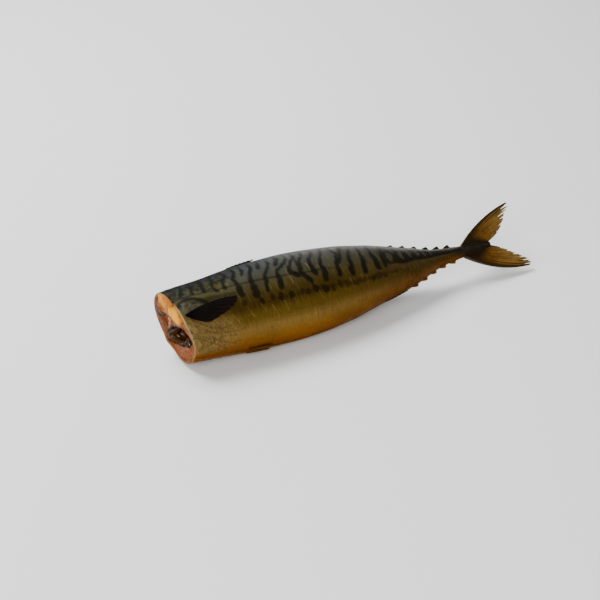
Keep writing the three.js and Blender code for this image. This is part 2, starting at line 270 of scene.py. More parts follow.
# Wavy bars of the upper flank: points (mm from the cut, degrees round the body).
BARS = [
    [(6, 22), (4, 34)],
    [(13, 24), (11, 40), (8, 56)],
    [(20, 26), (18, 42), (16, 60)],
    [(27, 28), (26, 44), (24, 61)],
    [(35, 28), (34, 46), (31, 60), (32, 66)],
    [(43, 28), (45, 43), (40, 55), (38, 68)],
    [(52, 30), (52, 44), (48, 56), (47.5, 68), (47, 82)],
    [(58, 28), (58, 44), (55, 56)],
    [(65, 30), (65, 46), (61, 58), (58.5, 70), (57.5, 87)],
    [(72, 28), (72, 42), (69, 52)],
    [(79, 30), (79, 44), (75, 56), (70, 68), (67, 87)],
    [(86, 28), (86, 43), (82, 54)],
    [(93, 30), (93, 44), (88, 56), (81, 66), (78.5, 86)],
    [(100, 30), (100, 44), (95, 54), (91, 63), (90, 72), (94, 78)],
    [(108, 32), (106, 46), (101, 58), (98, 70)],
    [(97, 76), (99, 82), (102, 89)],
    [(116, 34), (114, 48), (109, 60), (107.5, 79)],
    [(124, 36), (122, 50), (118, 62), (116, 76), (114.5, 88)],
    [(131, 40), (133, 56), (129, 70), (127.5, 80), (127, 89)],
    [(140, 42), (137, 54), (134, 64), (130, 72)],
    [(148, 44), (145, 56), (141, 70), (140, 80), (138, 90)],
    [(155, 44), (154, 60), (153, 76), (150, 91)],
    [(163, 44), (162, 60), (164, 75), (163, 92)],
    [(173, 44), (174, 58), (171, 74), (170, 91)],
]
BAR_HALF_WIDTH = 1.8
RIGHT_SHIFT = 5.0               # mm that the right flank's markings lie nearer to the tail

# Pale ovals that are left between the bars where they run together towards the tail:
# (mm from the cut, upper and lower end in degrees, half width in mm).
PALE_OVALS = [
    (168, 56, 84, 1.9), (177.5, 64, 87, 2.5), (183, 50, 66, 1.6), (189.5, 50, 83, 2.0),
    (197.5, 54, 78, 1.9), (205.5, 54, 78, 2.0), (213, 56, 79, 1.4), (220, 58, 76, 1.1),
]

# Row of blotches along the middle of the flank: (mm, degrees, radius in mm, strength).
BLOTCHES = [
    (47, 94, 2.6, 0.8), (53, 98, 2.0, 0.5), (60, 97, 2.9, 1.0), (69, 96, 2.6, 0.9),
    (75, 97, 3.0, 1.0), (83, 98.5, 2.6, 1.0), (92, 98.5, 2.4, 0.9), (97, 99.5, 2.5, 0.9),
    (104, 98.5, 2.9, 1.0), (111, 101, 2.9, 1.0), (117, 104, 2.4, 0.8), (124, 101.5, 2.6, 0.8),
    (131, 102, 2.6, 0.7), (138, 104, 2.6, 0.7), (146, 104.5, 2.4, 0.6), (155, 106, 3.0, 0.8),
    (161, 107, 2.8, 0.7), (168, 107.5, 2.8, 0.6), (176, 108, 2.8, 0.5), (186, 108.5, 2.6, 0.4),
]


def route_distance(x, degrees, route, scale=ARC):
    """Distance in mm from every skin point to a route of straight stretches."""
    best = np.full(x.shape, 1e9)
    for (x0, a0), (x1, a1) in zip(route[:-1], route[1:]):
        dx, da = x1 - x0, (a1 - a0) * scale
        px, pa = x - x0, (degrees - a0) * scale
        t = np.clip((px * dx + pa * da) / (dx * dx + da * da), 0, 1)
        best = np.minimum(best, np.hypot(px - t * dx, pa - t * da))
    return best


class Flank:
    """Where every skin point lies on the markings' own grid, which wanders a little.

    The right flank has the left one's markings, moved along and wandering differently."""

    def __init__(self, x, degrees):
        right = degrees < 0
        self.x, self.round_by = x, np.abs(degrees)
        self.drift_x = self.wander(9, 14, right, 5, 3)
        self.drift_turn = self.wander(7, 16, right, 6, 4)
        self.place = x + 0.9 * self.drift_x - RIGHT_SHIFT * right
        self.turn = self.round_by + 1.6 * self.drift_turn
        self.rough = noise(x / 1.6, self.round_by / 3, 8)
        self.patchy = noise(x / 2.7, self.round_by / 5, 9)

    def wander(self, along, around, right, right_seed, left_seed):
        u, v = self.x / along, self.round_by / around
        return np.where(right, noise(u, v, right_seed), noise(u, v, left_seed))


def bar_mask(flank):
    """The bars, joined to the dark back and to the band that they make near the tail."""
    place, turn, rough = flank.place, flank.turn, flank.rough
    bars = np.zeros_like(place)
    for number, route in enumerate(BARS):
        width = BAR_HALF_WIDTH * (1 + 0.18 * math.sin(2.4 * number))
        spread = width * (0.72 + 0.62 * rise(58, 88, turn))
        over_back = [(route[0][0] + 6, 3), *route]
        edge = route_distance(place, turn, over_back) - spread + 0.6 * rough
        bars = np.maximum(bars, fall(-0.7, 0.8, edge))
    back = fall(14, 44, turn + 4 * flank.drift_x)
    under_fin = fall(6, 12, turn) * rise(42, 50, place) * fall(78, 86, place)
    return np.max([bars, 0.75 * speck_mask(flank), rear_band(flank), 0.55 * back, under_fin], axis=0)


def speck_mask(flank):
    """Specks that break up the pale gaps between the bars near the cut."""
    place, turn = flank.place, flank.turn
    specks = rise(0.0, 0.5, noise(place / 2.6, turn / 5, 44) + 0.3 * flank.rough)
    return specks * fall(38, 58, place) * rise(20, 34, turn) * fall(60, 68, turn)


def rear_band(flank):
    """Towards the tail the bars run together and leave pale ovals."""
    place, turn = flank.place, flank.turn
    lower_edge = 91 + 1.5 * np.sin(place / 4.1) - 0.05 * np.maximum(0, place - 190)
    band_top = np.interp(place, [150, 168, 200, 230, 245], [90, 62, 52, 30, 10])
    band = rise(160, 176, place) * fall(lower_edge - 2, lower_edge + 2.5, turn)
    band *= rise(band_top - 14, band_top + 6, turn)
    for centre, top, bottom, half in PALE_OVALS:
        away = oval_distance(place, turn, centre, (top + bottom) / 2, half, (bottom - top) / 2)
        band *= 1 - 0.95 * fall(0.75, 1.25, away + 0.1 * flank.rough)
    return band


def blotch_mask(flank):
    """The blotches, the broken stripe that joins them and the smoke that settled by them."""
    x, place, turn, round_by = flank.x, flank.place, flank.turn, flank.round_by
    ragged = 0.20 * flank.rough + 0.28 * flank.patchy
    spots = [strength * fall(0.60, 1.20, np.hypot(place - centre, (turn - middle) * ARC) / radius + ragged)
             for centre, middle, radius, strength in BLOTCHES]
    stripe = np.abs(turn - np.interp(place, [44, 110, 200], [95.5, 100.5, 107.5])) * ARC
    faint = 0.68 * fall(0.8, 2.8, stripe + 0.5 * flank.rough) * rise(40, 56, place)
    faint *= (0.55 + 0.45 * rise(-0.3, 0.3, -flank.patchy)) * fall(170, 205, place)
    # Darker along the fold above the pectoral fin, and smoke along the middle of the flank.
    fold = route_distance(x, round_by, [(12, 74), (26, 76), (42, 80)])
    darker_fold_line = 0.6 * fall(0.6, 3.2, fold + 0.8 * flank.patchy)
    smoke = rise(81, 92, round_by) * fall(101, 112, round_by)
    smoke *= 0.40 * rise(26, 40, x) * fall(118, 150, x)
    return np.max([*spots, faint, darker_fold_line, smoke], axis=0)


def lateral_line(flank):
    """The thin line along the flank, which is lost towards the tail."""
    line_at = np.interp(flank.x, [0, 20, 60, 110, 150], [62, 63, 71, 78, 82])
    away = np.abs(flank.round_by + 0.8 * flank.drift_turn - line_at) * ARC
    return fall(0.25, 0.9, away) * (1 - 0.85 * rise(95, 150, flank.x))


def shoulder_lines(x, round_by):
    """Dark curved edge of the shoulder plate above the pectoral fin, and the ring spot."""
    plate = [(0.5, 74), (4, 70), (9, 67), (14, 68.5), (18, 74), (21, 80)]
    edge = fall(0.9, 2.6, route_distance(x, round_by, plate))
    spot = fall(0.85, 1.25, oval_distance(x, round_by, 3.2, 50, 2.4, 10))
    return np.maximum(edge, 0.8 * spot)


SLIT = [(-2, 172), (20, 174), (42, 178), (60, 180), (132, 180)]

# Creases of the loose skin behind the cut, and thin streaks that are partly where the foil-like layer
# shows and partly painted highlight on the skin's wrinkles.
CREASES = [
    [(1, 98), (8, 111), (17, 122), (29, 127), (40, 126)],
    [(4, 152), (13, 139), (24, 132), (36, 134)],
    [(9, 103), (15, 112), (25, 119), (34, 116)],
    [(2, 124), (10, 133), (18, 146), (25, 161)],
    [(12, 161), (22, 151), (34, 146), (44, 148)],
    [(0.5, 110), (5, 122), (7, 136), (5, 150)],
    [(14, 128), (21, 140), (33, 151)],
    [(20, 108), (24, 122), (22, 134)],
]
STREAKS = [
    [(27, 101), (30, 111), (33.5, 126)], [(34, 104), (37, 116)], [(20, 103), (22, 113)],
    [(66, 104), (69, 121)], [(76, 103), (77, 118)], [(87, 66), (88.5, 87)], [(90, 88), (92, 102)],
    [(105, 64), (106, 82)], [(113, 71), (116, 85)], [(104, 92), (107, 112)], [(129, 66), (131, 80)],
    [(58, 98), (60, 110)], [(134, 96), (136, 110)], [(47, 100), (50, 114)],
]


def nearest(x, degrees, routes):
    """Distance in mm from every skin point to the nearest of several routes."""
    return np.min([route_distance(x, degrees, route) for route in routes], axis=0)


def crease_drift(x, degrees):
    """How far the creases and streaks stray along the body from their routes, in mm."""
    return 1.2 * noise(x / 4, degrees / 9, 16)


# ---- Body mesh ----

RIDGE = 0.8                     # mm that the skin rises between the finlets
SHOULDER = (9, 78)              # middle of the shoulder plate: mm from the cut, degrees


def wrinkles(x, degrees):
    """Fine wrinkles all over, with puckers and creases in the loose skin behind the cut."""
    round_by = np.abs(degrees)
    fine = noise(x / 1.5, degrees / 22, 11) + 0.6 * noise(x / 0.9, degrees / 15, 12)
    height = 0.055 * rise(40, 80, round_by) * fine
    height += 0.16 * rise(4, 20, x) * noise(x / 11, degrees / 24, 13)
    puckers = 0.24 * rise(85, 112, round_by) * noise((x + degrees / 4) / 2.4, degrees / 14, 14)
    puckers += 0.13 * noise((x - degrees / 5) / 1.2, degrees / 6, 15)
    creases = nearest(x + crease_drift(x, degrees), round_by, CREASES)
    return height + fall(22, 48, x) * puckers - 0.24 * bell(creases, 0.6)


def shoulder_relief(x, degrees):
    """The lateral line, and the shoulder plate that stands out under the skin."""
    flank = Flank(x, degrees)
    plate = fall(0.6, 1.1, oval_distance(x, flank.round_by, *SHOULDER, 9, 10))
    return 0.5 * plate - 0.14 * lateral_line(flank) - 0.22 * shoulder_lines(x, flank.round_by)


def slit_relief(x, degrees):
    """The slit belly: a groove between two low lips."""
    away = route_distance(x, degrees % 360, SLIT)
    open_part = fall(112, 134, x) * rise(1, 12, x)
    return open_part * (0.35 * bell(away - 2.2, 1.1) - 1.1 * bell(away, 0.8))


def stalk_relief(x, degrees):
    """The keel on each side of the stalk between two hollows, and the stalk's wrinkled end."""
    round_by = np.abs(degrees)
    keel = 1.3 * bell(round_by - 92, 12) - 0.3 * bell(round_by - 66, 9) - 0.3 * bell(round_by - 108, 9)
    keel *= rise(248, 258, x) * fall(273, 280, x)
    return keel + 0.32 * rise(248, 262, x) * noise(x / 2.6, degrees / 13, 17)


def finlet_ridges(x, degrees):
    """Skin that rises along the back and the belly where the finlets stand."""
    round_by = np.abs(degrees)
    along = rise(150, 176, x) * fall(244, 256, x)
    return RIDGE * along * (bell(round_by, 20) + bell(180 - round_by, 20))


def cut_edge_relief(x, degrees):
    """At the cut: the flap of the right belly, the dent below it and the curled-in left edge."""
    flap = 1.7 * bell(degrees + 93, 6) * fall(0, 7, x)
    dent = 1.1 * bell(degrees + 113, 10) * fall(0, 10, x)
    curled = 0.5 + 0.5 * np.cos(np.radians(degrees - 98))
    return flap - dent - 2.8 * curled ** 3 * fall(0, 6.5, x) ** 1.5


def skin_relief(x, degrees):
    """Height in mm of the skin's creases, ridges and dents."""
    height = wrinkles(x, degrees) + shoulder_relief(x, degrees) + slit_relief(x, degrees)
    height += stalk_relief(x, degrees) + finlet_ridges(x, degrees)
    return height * rise(0, 2.5, x + 1.2) + cut_edge_relief(x, degrees)


# The mouth of the gutted cavity on the cut face, seen from the front: mm to the right of
# the fish's middle and mm towards the back.
MOUTH = [
    (23.0, -1.2), (19.0, 1.4), (12.0, 2.4), (6.0, 2.9), (1.0, 1.2), (-2.6, -0.8), (-6.5, -3.5),
    (-9.7, -6.8), (-11.3, -11.0), (-11.8, -15.5), (-10.8, -18.4), (-6.0, -18.4), (1.0, -15.8),
    (6.7, -12.2), (11.0, -9.0), (16.0, -5.8), (20.5, -3.6),
]
MOUTH_MIDDLE = (2.5, -7.5)
THINNEST_WALL = 1.5


def mouth_radius(direction):
    """Distance from the mouth's middle to its edge, for directions in radians."""
    outline = np.array(MOUTH) - MOUTH_MIDDLE
    turns = np.arctan2(outline[:, 1], outline[:, 0])
    reach = np.hypot(outline[:, 0], outline[:, 1])
    order = np.argsort(turns)
    radius = np.interp(direction, turns[order], reach[order], period=TAU)
    ranks = np.argsort(direction)
    smooth = blur(radius[ranks], 2.5, 0, True)
    result = np.empty_like(radius)
    result[ranks] = smooth
    return result + 0.30 * np.sin(9 * direction + 1) + 0.22 * np.sin(17 * direction)


# Dark seams between the muscles of the cut face: how dark, and the route.
SEAMS = [
    (0.30, [(-15.5, 11.0), (-9.5, 12.2), (-4.0, 10.6), (-1.4, 7.0)]),
    (0.55, [(2.8, 26.0), (2.2, 18.0), (0.6, 11.0), (-1.4, 7.0)]),
    (0.85, [(3.5, 11.5), (8.5, 13.0), (14.0, 18.5)]),
    (0.70, [(3.0, 10.0), (8.5, 8.0), (10.0, 4.0)]),
    (0.45, [(-16.0, -2.5), (-9.0, -3.2), (-4.0, 0.5), (-0.5, 3.4)]),
]


# Mounds of the cut flesh: (height in mm, right, up, half width, half height, tilt in degrees).
MOUNDS = [
    (1.9, -5.5, 17, 9.5, 10.5, -12), (2.3, -9.3, 4.8, 7.6, 7.6, 20), (1.5, 8.0, 18.5, 6.5, 8.5, 35),
    (1.3, 13.8, 8.5, 5.5, 8.5, 8), (1.1, -15.2, -8, 3.4, 9, 18), (1.5, 3, -20.5, 14, 4.2, 20),
    (1.8, 1.0, 7.2, 2.2, 1.7, 15), (1.5, 4.6, 5.0, 2.0, 1.5, -25), (1.0, 8.5, 3.9, 2.4, 1.0, 0),
    (0.9, -1.2, 2.2, 1.6, 1.4, 0),
]


def cut_relief(right, up, from_rim):
    """How far the cut flesh stands out of the plane of the cut, in mm.

    right and up are measured on the cut face as seen from the front."""
    height = 0.30 * noise(right / 2.3 + 9, up / 2.3 + 9, 21)
    height += 0.16 * noise(right / 0.9 + 9, up / 0.9 + 9, 22)
    for tall, *oval in MOUNDS:
        height += tall * np.sqrt(np.clip(1 - oval_distance(right, up, *oval) ** 2, 0, 1))
    rim = fall(0.36, 1.08, from_rim)
    return height * (1 - rim) + 0.45 * rim - 1.1


def cut_face(rim):
    """Rings from the rim of the cut to the edge of the mouth, and where each point lies."""
    seen_right, seen_up = -rim[:, 2], rim[:, 1]
    mouth_right, mouth_up = MOUTH_MIDDLE
    direction = np.arctan2(seen_up - mouth_up, seen_right - mouth_right)
    radius = mouth_radius(direction)
    room = np.hypot(seen_right - mouth_right, seen_up - mouth_up) - radius
    radius = radius + np.minimum(0, room - THINNEST_WALL)
    steps = np.linspace(0, 1, FACE_RINGS + 1)[1:, None]
    right = seen_right * (1 - steps) + (mouth_right + radius * np.cos(direction)) * steps
    up = seen_up * (1 - steps) + (mouth_up + radius * np.sin(direction)) * steps
    from_rim = np.hypot(right - seen_right, up - seen_up)
    lip = bell(1 - steps, 0.2)
    relief = cut_relief(right, up, from_rim) * rise(0, 0.5, from_rim)
    relief = relief * (1 - lip) - 0.6 * lip
    rings = np.stack([slant(0.0, up, -right) - relief, up, -right], -1)
    return rings, SimpleNamespace(right=right, up=up, from_rim=from_rim, direction=direction)


def cavity(mouth, direction):
    """Rings from the edge of the mouth inwards to a blind end, and how each one lies."""
    right, up = -mouth[:, 2], mouth[:, 1]
    mouth_right, mouth_up = MOUTH_MIDDLE
    inwards = np.linspace(0, 1, CAVITY_RINGS + 1)[1:, None]
    depth = CAVITY_LENGTH * inwards ** 2.1
    narrowing = np.sqrt(1 - 0.93 * (depth / CAVITY_LENGTH) ** 1.5)
    around = np.cumsum(np.hypot(np.diff(right, append=right[0]), np.diff(up, append=up[0])))[None]
    warp = depth + 0.9 * noise(around / 6, depth / 5, 34)
    folds = noise(around / 11, warp / 2.4, 31) + 0.5 * noise(around / 5, warp / 1.6, 32)
    folds += 0.3 * noise(around / 1.6, depth / 1.6, 33)
    # The lining sags inwards from below and leaves the dark way in under the backbone.
    sag = 0.9 + 4.6 * (0.5 - 0.5 * np.sin(direction)) ** 1.2
    bulge = 1.5 * folds * rise(0, 1.2, depth) + sag * rise(0, 8, depth)
    to_middle = np.hypot(right - mouth_right, up - mouth_up)[None]
    shrink = narrowing * np.maximum(0.2, 1 - bulge / np.maximum(to_middle, 5.0))
    hollow_right = mouth_right + (right - mouth_right) * shrink
    hollow_up = mouth_up + (up - mouth_up) * shrink + section(depth)[0]
    depth = np.broadcast_to(depth, folds.shape)
    rings = np.stack([mouth[:, 0] + depth, hollow_up, -hollow_right], -1)
    under_spine = np.broadcast_to(rise(0.1, 0.8, np.sin(direction)), folds.shape)
    return rings, SimpleNamespace(depth=depth, folds=folds, under_spine=under_spine)


def stalk_end(last):
    """A few rings that round off the tail."""
    centre = last.mean(0)
    rings = []
    for turn in np.linspace(0, math.pi / 2, 5)[1:-1]:
        ring = centre + (last - centre) * math.cos(turn)
        ring[:, 0] += math.sin(turn)
        rings.append(ring)
    return np.array(rings)


def above_floor(grid):
    """The same rings with every point that would reach the floor lifted just clear of it."""
    points = to_row(grid.reshape(-1, 3))
    points[:, 2] = np.maximum(points[:, 2], FLOOR_GAP)
    return ((points / MM) @ AXES - ORIGIN).reshape(grid.shape)


def grid_object(name, grid, ends):
    """Object from a grid of rings that wrap round, with a point closing each end."""
    rings, sides = grid.shape[:2]
    points = [grid.reshape(-1, 3)]
    index = np.arange(rings * sides).reshape(rings, sides)
    a, b = index[:-1], np.roll(index, -1, 1)[:-1]
    c, d = np.roll(index, -1, 1)[1:], index[1:]
    quads = np.stack([a, b, c, d], -1).reshape(-1, 4).tolist()
    total = rings * sides
    for number, ring in enumerate((index[0], index[-1])):
        points.append(ends[number][None])
        pairs = np.stack([ring, np.roll(ring, -1)], -1)
        pairs = pairs[:, ::-1] if number == 0 else pairs
        quads += [[*pair, total + number] for pair in pairs.tolist()]
    return mesh_object(name, np.concatenate(points), quads)


def link(name, data):
    made = bpy.data.objects.new(name, data)
    bpy.context.scene.collection.objects.link(made)
    return made


def mesh_object(name, points, faces):
    mesh = bpy.data.meshes.new(name)
    mesh.from_pydata(to_row(points).tolist(), [], faces)
    mesh.update()
    mesh.polygons.foreach_set("use_smooth", [True] * len(mesh.polygons))
    return link(name, mesh)


def set_attribute(piece, name, values):
    kind = "FLOAT" if values.ndim == 1 else "FLOAT_VECTOR"
    layer = piece.data.attributes.new(name, kind, "POINT")
    field = "value" if values.ndim == 1 else "vector"
    layer.data.foreach_set(field, values.astype(np.float32).ravel())


# ---- Materials ----

def linear(tint):
    """A colour, given in thousandths of linear light, as Blender takes it."""
    return (*[part / 1000 for part in tint], 1.0)


class Shader:
    """One Principled material and the nodes that feed it."""

    def __init__(self, name, constants):
        self.material = bpy.data.materials.new(name)
        self.material.use_nodes = True
        self.tree = self.material.node_tree
        self.tree.nodes.clear()
        self.principled = self.node("BsdfPrincipled", constants)
        self.node("OutputMaterial", {"Surface": self.principled.outputs[0]})

    def node(self, kind, inputs, **settings):
        """A new node with its settings and its inputs, which are values or sockets."""
        made = self.tree.nodes.new("ShaderNode" + kind)
        for key, value in settings.items():
            setattr(made, key, value)
        for socket, value in inputs.items():
            self.feed(made.inputs[socket], value)
        return made

    def feed(self, socket, value):
        if isinstance(value, bpy.types.NodeSocket):
            self.tree.links.new(value, socket)
        elif socket.type == "RGBA":
            socket.default_value = linear(value)
        else:
            socket.default_value = value

    def mask(self, name):
        return self.node("Attribute", {}, attribute_name=name).outputs["Fac"]

    def vector(self, name):
        return self.node("Attribute", {}, attribute_name=name).outputs["Vector"]

    def place(self):
        return self.node("TexCoord", {}).outputs["Object"]

    def stretched(self, vector, scale):
        return self.node("Mapping", {"Vector": vector, "Scale": scale}).outputs[0]

    def noise(self, vector, scale, detail=4.0, roughness=0.6, distortion=0.0):
        return self.node("TexNoise", {
            "Vector": vector, "Scale": scale, "Detail": detail,
            "Roughness": roughness, "Distortion": distortion}).outputs["Fac"]

    def ramp(self, value, stops):
        """A ramp of numbers, or of colours where the stops hold colours."""
        made = self.node("ValToRGB", {0: value})
        elements = made.color_ramp.elements
        while len(elements) < len(stops):
            elements.new(0.5)
        for element, (place, tint) in zip(elements, stops):
            element.position = place
            element.color = linear(tint) if isinstance(tint, tuple) else (tint, tint, tint, 1.0)
        return made.outputs[0]

    def mix(self, factor, first, second, blend="MIX"):
        inputs = {0: factor, 6: first, 7: second}
        return self.node("Mix", inputs, data_type="RGBA", blend_type=blend).outputs[2]

    def math(self, operation, first, second):
        return self.node("Math", {0: first, 1: second}, operation=operation).outputs[0]

    def share(self, mask, strength):
        """A mask, by its name or socket, times a number or another socket."""
        return self.math("MULTIPLY", self.mask(mask) if isinstance(mask, str) else mask, strength)

    def paint(self, tint, mask, strength, colour):
        """A colour laid over a tint where a mask says, as strongly as strength."""
        return self.mix(self.share(mask, strength), tint, colour)

    def bump(self, height, distance, strength, *below):
        made = self.node("Bump", {"Height": height, "Distance": distance, "Strength": strength})
        for normal in below:
            self.feed(made.inputs["Normal"], normal)
        return made.outputs[0]

    def finish(self, colour, **inputs):
        """Feeds the Principled shader's sockets; names are as on the shader, in small letters."""
        self.feed(self.principled.inputs["Base Color"], colour)
        for name, value in inputs.items():
            self.feed(self.principled.inputs[name.title().replace("_", " ")], value)
        return self.material


# Tints of the skin from the back (0) to the belly (1), at the cut and at the stalk.
# The pale grey-blue stop at 0.24 is partly the back's own grey-blue and partly painted sheen along the
# upper back.
FRONT_TINTS = [
    (0.00, (6, 9, 12)), (0.14, (12, 17, 21)), (0.24, (44, 54, 56)),
    (0.36, (48, 50, 36)), (0.42, (50, 45, 22)), (0.50, (62, 40, 6)),
    (0.56, (56, 30, 2)), (0.61, (76, 45, 4)), (0.66, (94, 55, 6)),
    (0.73, (172, 98, 22)), (0.80, (168, 82, 10)), (0.88, (215, 75, 3)),
    (1.00, (160, 45, 0)),
]
REAR_TINTS = [
    (0.00, (10, 11, 12)), (0.30, (30, 31, 26)), (0.48, (48, 38, 14)),
    (0.56, (46, 28, 7)), (0.66, (48, 22, 2)), (0.80, (78, 23, 0)),
    (1.00, (70, 18, 0)),
]
BAR_TINTS = [(0.0, (4, 6, 8)), (0.30, (5, 7, 7)), (0.50, (5, 4, 2))]
EDGE_TINTS = [(0.80, (420, 300, 150)), (0.93, (480, 170, 12))]


def smoked_tint(s, turn, streaks):
    """Blue-black back, olive flank and gold belly, with smoke clouds and fine streaks: lighter on the
    streaks' raised ridges and darker in their hollows, partly the skin's own gold streaks and partly
    painted highlight and painted shade.
    """
    toward_tail = s.ramp(s.mask("rear"), [(0.38, 0.0), (0.70, 1.0)])
    tint = s.mix(toward_tail, s.ramp(turn, FRONT_TINTS), s.ramp(turn, REAR_TINTS))
    tint = s.paint(tint, "nape", 0.70, (9, 13, 15))
    tint = s.paint(tint, "yellow", 0.7, (85, 72, 6))
    blue_black = s.ramp(s.noise(s.place(), 240.0, 4.0), [(0.45, 0.0), (0.60, 0.8)])
    tint = s.paint(tint, blue_black, s.mask("nape"), (4, 6, 7))
    clouds = s.noise(s.place(), 42.0, 3.0)
    tint = s.mix(s.ramp(clouds, [(0.40, 0.0), (0.68, 0.30)]), tint, (18, 9, 1))
    flank = s.ramp(turn, [(0.24, 0.2), (0.46, 1.0), (0.80, 1.0), (0.92, 0.15)])
    # Painted highlight, partly the skin's own gold streaks: gold on the raised ridges of the streaks.
    gold_streaks_and_highlight = s.share(s.ramp(streaks, [(0.56, 0.0), (0.74, 1.0)]), flank)
    tint = s.paint(tint, gold_streaks_and_highlight, 0.55, (270, 180, 30))
    # Painted shade, partly the skin's own colour: darker in the hollows between the streaks.
    dull = s.share(s.ramp(streaks, [(0.28, 1.0), (0.46, 0.0)]), flank)
    return s.paint(tint, dull, 0.5, (16, 9, 1))


def loose_skin_tint(s, tint, crackle):
    """Pale, crackled and creased skin behind the shoulder and under the pectoral fin, with painted shade
    along the creases.
    """
    tint = s.paint(tint, "pale", 0.8, (215, 138, 42))
    cracks = s.share(s.ramp(crackle, [(0.40, 1.0), (0.54, 0.0)]), s.mask("pale"))
    tint = s.paint(tint, cracks, 0.7, (35, 18, 5))
    # Painted shade: darker along the creases.
    tint = s.paint(tint, "creases", 0.42, (34, 17, 5))
    mottle = s.ramp(s.noise(s.place(), 300.0, 4.0), [(0.42, 0.0), (0.60, 0.75)])
    tint = s.paint(tint, "plate", 0.75, s.mix(mottle, (70, 66, 44), (16, 16, 12)))
    # Painted highlight, partly the foil-like layer: thin gold streaks.
    return s.paint(tint, "streaks", 0.55, (230, 165, 45))


def marked_tint(s, tint, turn):
    """Fine grain, then the bars, blotches and lines, the dark stalk, the slit and the rim."""
    grain = s.noise(s.place(), 900.0, 2.0)
    tint = s.mix(0.7, tint, s.mix(grain, (450, 450, 450), (1550, 1550, 1550)), "MULTIPLY")
    tint = s.paint(tint, "bars", 0.95, s.ramp(turn, BAR_TINTS))
    tint = s.paint(tint, "blotches", 0.92, (7, 4, 1))
    tint = s.paint(tint, "lines", 0.85, (5, 4, 3))
    tint = s.mix(s.mask("stalk"), tint, (8, 7, 5))
    tint = s.mix(s.mask("slit"), tint, (70, 16, 2))
    return s.mix(s.mask("cream"), tint, s.ramp(turn, EDGE_TINTS))


def skin_material():
    s = Shader("smoked_skin", {"Specular IOR Level": 0.07, "Specular Tint": (1000, 760, 440),
                               "Coat Roughness": 0.24})
    spread = s.vector("skin_place")          # mm along, mm round
    turn = s.mask("turn")                    # 0 at the back, 1 at the belly
    streaks = s.noise(s.stretched(spread, (0.95, 0.085, 1.0)), 1.0, 5.0, 0.7)
    crackle = s.noise(s.stretched(spread, (0.55, 0.30, 1.0)), 1.0, 7.0, 0.75, 1.2)
    tint = marked_tint(s, loose_skin_tint(s, smoked_tint(s, turn, streaks), crackle), turn)
    rough = s.ramp(s.noise(s.place(), 160.0, 5.0), [(0.30, 0.32), (0.70, 0.52)])
    rough = s.math("ADD", rough, s.share("dull", 0.40))
    normal = s.bump(streaks, 0.0009, 0.6)
    normal = s.bump(s.noise(s.place(), 1500.0, 3.0), 0.00022, 0.5, normal)
    normal = s.bump(s.share(crackle, s.mask("pale")), 0.0014, 0.9, normal)
    shine = s.ramp(turn, [(0.10, 0.10), (0.44, 0.22), (0.66, 0.30), (0.80, 0.55), (1.0, 0.65)])
    gloss = s.ramp(turn, [(0.08, 0.09), (0.22, 0.17), (0.33, 0.10), (0.50, 0.06), (0.75, 0.02)])
    matt = s.math("SUBTRACT", 1.0, s.share("dull", 0.8))
    return s.finish(tint, roughness=rough, normal=normal, metallic=shine,
                    coat_weight=s.share(gloss, matt))


# Tints of the cut flesh: mask, then the darker and the paler fibres.
FLESH_TINTS = [
    ("dark_meat", (60, 12, 2), (165, 38, 4)),
    ("amber", (280, 80, 3), (460, 155, 10)),
    # The next tint is gold flesh, and a painted highlight at the top of the cut.
    ("golden_flesh_and_highlight", (580, 215, 4), (860, 390, 14)),
    # The next tint is pale bits of bone, and a painted glint on the belly wall.
    ("bone_bits_and_glint", (200, 65, 12), (520, 270, 110)),
]


def flesh_material():
    s = Shader("smoked_flesh", {"Specular IOR Level": 0.06, "Specular Tint": (1000, 660, 380),
                                "Coat Weight": 0.08, "Coat Roughness": 0.06,
                                "Subsurface Weight": 0.10, "Subsurface Scale": 0.004})
    fibres = s.noise(s.stretched(s.vector("cut_place"), (0.40, 0.16, 1.0)), 1.0, 3.5, 0.5, 0.8)
    tint = s.mix(fibres, (105, 20, 1), (240, 62, 5))
    for mask, darker, paler in FLESH_TINTS:
        tint = s.mix(s.mask(mask), tint, s.mix(fibres, darker, paler))
    tint = s.mix(s.mask("grey_bits"), tint, (45, 30, 25))
    tint = s.mix(s.mask("seam"), tint, (30, 6, 1))
    tint = s.mix(s.mask("rim"), tint, (300, 190, 80))
    tint = s.mix(s.mask("shade"), tint, (12, 3, 1))
    wet = s.noise(s.place(), 260.0, 3.0)
    normal = s.bump(wet, 0.0012, 0.6, s.bump(fibres, 0.0009, 0.7))
    return s.finish(tint, roughness=s.ramp(wet, [(0.35, 0.22), (0.65, 0.42)]), normal=normal)


def cavity_material():
    s = Shader("cavity_lining", {"Specular IOR Level": 0.2, "Specular Tint": (1000, 720, 450),
                                 "Coat Weight": 0.32, "Coat Roughness": 0.08})
    lumps = s.noise(s.place(), 260.0, 5.0, 0.6, 0.6)
    # Painted light and shade: the raised folds lighter, the hollows between them and the crease under the
    # mouth's top edge darker.
    tint = s.mix(s.mask("folds"), (14, 4, 2), (115, 46, 13))
    tint = s.mix(s.ramp(lumps, [(0.46, 0.0), (0.62, 0.7)]), tint, (26, 7, 3))
    # Painted shade: darker with depth into the cavity.
    tint = s.mix(s.mask("depth"), tint, (2, 1, 1))
    rough = s.ramp(lumps, [(0.3, 0.18), (0.7, 0.38)])
    return s.finish(tint, roughness=rough, normal=s.bump(lumps, 0.0016, 0.8))


